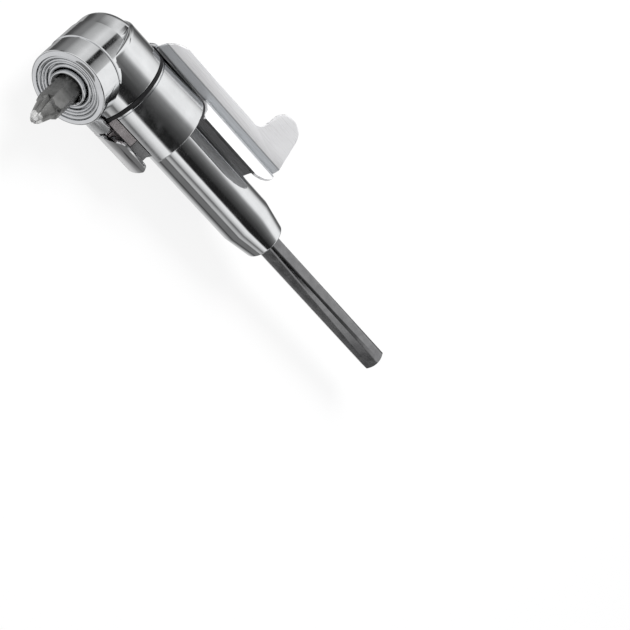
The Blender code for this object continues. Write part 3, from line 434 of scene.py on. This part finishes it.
neck += [*rounded_front(NECK_R, NECK_END, NECK_EDGE), (0, NECK_END)]
head = combined(
    turned(neck, TO_SHANK), ("DIFFERENCE", lever_flat(NECK_FLAT, -2.5, 9.7)), turned(barrel, TO_BIT),
    ("DIFFERENCE", turned(CAVITY, TO_BIT)), ("DIFFERENCE", turned(PASSAGE, TO_SHANK)),
)
piece("head_casting", head, "head_chrome", "housing", "gear_head")

# Swivel collar with the fine groove behind its front lip
COLLAR_LIP = (
    (7.7, 10.65), (11.75, 10.65), (11.9, 10.8), (11.9, 11.1), (11.55, 11.2), (11.55, 11.4), (11.93, 11.5),
)
COLLAR_R, COLLAR_END, COLLAR_EDGE, COLLAR_FLAT = 12.5, 27, 0.45, 6.4
COLLAR_RECESS = ((9.5, 27), (9.5, 25.3), (7.7, 25.3))
collar = [*COLLAR_LIP, *rounded_front(COLLAR_R, COLLAR_END, COLLAR_EDGE), *COLLAR_RECESS]
flattened = combined(turned(collar, TO_SHANK), ("DIFFERENCE", lever_flat(COLLAR_FLAT, 10.3, 27.3)))
piece("swivel_collar_body", flattened, "collar_chrome", "handle", "swivel_collar")

# Bush with the ribs of its face, and the two rings in front of it
BUSH_BODY = ((5.25, 8.25), (8.7, 8.25), (8.7, 13.3), (7.9, 13.3))
BUSH_RIBS = ((7.15, 7.9, 14.55), (6.5, 7.15, 14.3))
BUSH_FLOOR = ((6.5, 13.2), (5.25, 13.2))
ribs = [point for rib in BUSH_RIBS for point in crown(*rib)]
bush = turned([*BUSH_BODY, *ribs, *BUSH_FLOOR], TO_BIT)
piece("output_bush_face", bush, "bush_steel", "housing", "output_bush")
RINGS = (
    ("nose_ring_round", (5.25, 6.3, 13.5, 14.2), "spindle", "spindle_nose_ring"),
    ("front_ring_round", (7.95, 9.0, 13.5, 14.85), "housing", "front_retaining_ring"),
)
for name, size, body, node_name in RINGS:
    piece(name, turned(bead(*size), TO_BIT), "spindle_chrome", body, node_name)

# Studio: a pale floor under the part, and strips of light and dark round the shaft's axis
CAMERA_PLACE = (0.2973, 0.30953, 0.32195)
CAMERA_AXES = (
    (-0.57853, -0.29035, 0.76223),
    (0.6267, -0.75635, 0.18756),
    (0.52206, 0.5862, 0.61953),
)
FRAME_PIXELS = 630
FOCAL_PIXELS = 1888.9
SENSOR_WIDTH = 36


def photograph_camera():
    lens = bpy.data.cameras.new("photograph_camera")
    lens.sensor_fit = "HORIZONTAL"
    lens.sensor_width = SENSOR_WIDTH
    lens.lens = FOCAL_PIXELS * SENSOR_WIDTH / FRAME_PIXELS
    lens.clip_start = 0.01
    made = bpy.data.objects.new("photograph_camera", lens)
    bpy.context.collection.objects.link(made)
    made.matrix_world = Matrix.Translation(CAMERA_PLACE) @ Matrix(CAMERA_AXES).transposed().to_4x4()
    bpy.context.scene.camera = made


FLOOR_GAP = 0.05 * MM
FLOOR_REACH = 3.0
FLOOR_GLOW = 0.86


def pale_floor():
    """Floor that keeps the part's shadow and is otherwise nearly white to the camera."""
    made = Finish("studio_floor", (0.86, 0.86, 0.86), 0.9, 0.0)
    level = cad_box[0][2] - FLOOR_GAP
    mesh = bpy.data.meshes.new("studio_floor")
    corners = [(x * FLOOR_REACH, y * FLOOR_REACH, level) for x, y in ((-1, -1), (1, -1), (1, 1), (-1, 1))]
    mesh.from_pydata(corners, [], [(0, 1, 2, 3)])
    floor = bpy.data.objects.new("studio_floor", mesh)
    bpy.context.collection.objects.link(floor)
    mesh.materials.append(made.material)
    floor.visible_glossy = False
    seen = made.node("ShaderNodeLightPath", output="Is Camera Ray")
    glow = made.node("ShaderNodeEmission", inputs={"Color": (1, 1, 1, 1), "Strength": 1.0})
    matte = Wire(made.tree, made.shader.outputs[0])
    mixed = made.node("ShaderNodeMixShader", inputs=(seen * FLOOR_GLOW, matte, glow))
    made.tree.links.new(mixed.socket, made.tree.nodes["Material Output"].inputs["Surface"])


# Strips of light as (degrees, grey level), round the shaft and round the bit's axis
VIEW_ANGLE = 46
SHAFT_STRIPS = (
    (-180, 0.75), (-140, 0.65), (-120, 0.22), (-112, 0.04), (-105, 0.19), (-81, 0.2), (-76, 0.12),
    (-71, 0.62), (-62, 0.5), (-52, 0.14), (-47, 0.5), (-36, 0.92), (-25, 1.05), (-22, 0.3), (-19, 0.018),
    (2, 0.016), (8, 0.04), (20, 0.07), (34, 0.14), (48, 0.26), (54, 0.45), (62, 0.95), (75, 1.08),
    (100, 1.02), (112, 0.8), (120, 0.45), (128, 0.2), (146, 0.07), (158, 0.3), (170, 0.7), (180, 0.75),
)
HEAD_STRIPS = (
    (-180, 0.4), (-160, 0.05), (-112, 0.05), (-92, 0.15), (-84, 0.8), (-66, 1.05), (-40, 1.0), (-24, 0.75),
    (-8, 0.6), (8, 0.38), (18, 0.25), (22, 0.02), (33, 0.02), (37, 0.7), (57, 0.85), (73, 0.6), (90, 0.48),
    (104, 0.26), (122, 0.22), (136, 0.1), (154, 0.07), (160, 0.45), (180, 0.4),
)
# Which reflected rays see which light, by how far they point along an axis: middle, half width and soft edge
FROM_SHAFT = (-0.54, 0.235, 0.03)
FROM_HEAD = (-0.715, 0.035, 0.04)
FROM_FRONT = (0.4, 0.6)
FRONT_GREY = (0.75, 0.75, 0.76, 1)
DOME_GREY = (0.62, 0.62, 0.63, 1)
WHITE = (1, 1, 1, 1)


def blend(tree, share, first, second):
    """Mix two colours of the world's light."""
    return node(tree, "ShaderNodeMix", {"data_type": "RGBA"}, {0: share, 6: first, 7: second}, 2)


def lit_round(angle, strips):
    """Grey levels that follow an angle in radians from -pi to pi."""
    stops = [((degrees + 180) / 360, level) for degrees, level in strips]
    share = angle * (1 / (2 * pi)) + 0.5
    return node(angle.tree, "ShaderNodeValToRGB", {"stops": stops}, (share,))


def studio_light():
    """World light: white to the camera, strips round the shaft in gloss, an even dome for the rest."""
    world = bpy.data.worlds.new("studio")
    bpy.context.scene.world = world
    world.use_nodes = True
    tree = world.node_tree
    aim = node(tree, "ShaderNodeTexCoord", output="Generated")
    parts = tree.nodes.new("ShaderNodeSeparateXYZ")
    tree.links.new(aim.socket, parts.inputs[0])
    across, upward = Wire(tree, parts.outputs[1]), Wire(tree, parts.outputs[2])
    angle = upward.maths("ARCTAN2", upward, across) + radians(-VIEW_ANGLE)
    strips = lit_round(angle.maths("WRAP", angle, pi, -pi), SHAFT_STRIPS)
    head = TO_BIT.to_3x3().transposed()
    over, beside = aim.along((0, 0, 1)), aim.along(Vector(head[2]).cross(Vector((0, 0, 1))))
    head_strips = lit_round(over.maths("ARCTAN2", beside, over), HEAD_STRIPS)
    front = aim.along(head[2])
    off_shaft = 1 - aim.along((1, 0, 0)).hump(*FROM_SHAFT)
    on_head = front.hump(*FROM_HEAD) * off_shaft
    strips = blend(tree, on_head, strips, head_strips)
    strips = blend(tree, front.rise(*FROM_FRONT) * off_shaft, strips, FRONT_GREY)
    camera_ray = node(tree, "ShaderNodeLightPath", output="Is Camera Ray")
    gloss_ray = node(tree, "ShaderNodeLightPath", output="Is Glossy Ray")
    light = blend(tree, gloss_ray, DOME_GREY, strips)
    light = blend(tree, camera_ray, light, WHITE)
    background = tree.nodes["Background"]
    tree.links.new(light.socket, background.inputs["Color"])


def soft_lamp(name, place, target, size, power):
    lamp = bpy.data.lights.new(name, "AREA")
    lamp.shape = "DISK"
    lamp.size = size
    lamp.energy = power
    made = bpy.data.objects.new(name, lamp)
    bpy.context.collection.objects.link(made)
    made.location = place
    aim = Vector(target) - Vector(place)
    made.rotation_euler = aim.to_track_quat("-Z", "Y").to_euler()
    made.visible_glossy = False


photograph_camera()
pale_floor()
studio_light()
soft_lamp("key_lamp", place=(0.25, -0.35, 0.6), target=(0.07, 0, 0), size=0.4, power=5.0)
bpy.context.scene.view_settings.view_transform = "Standard"
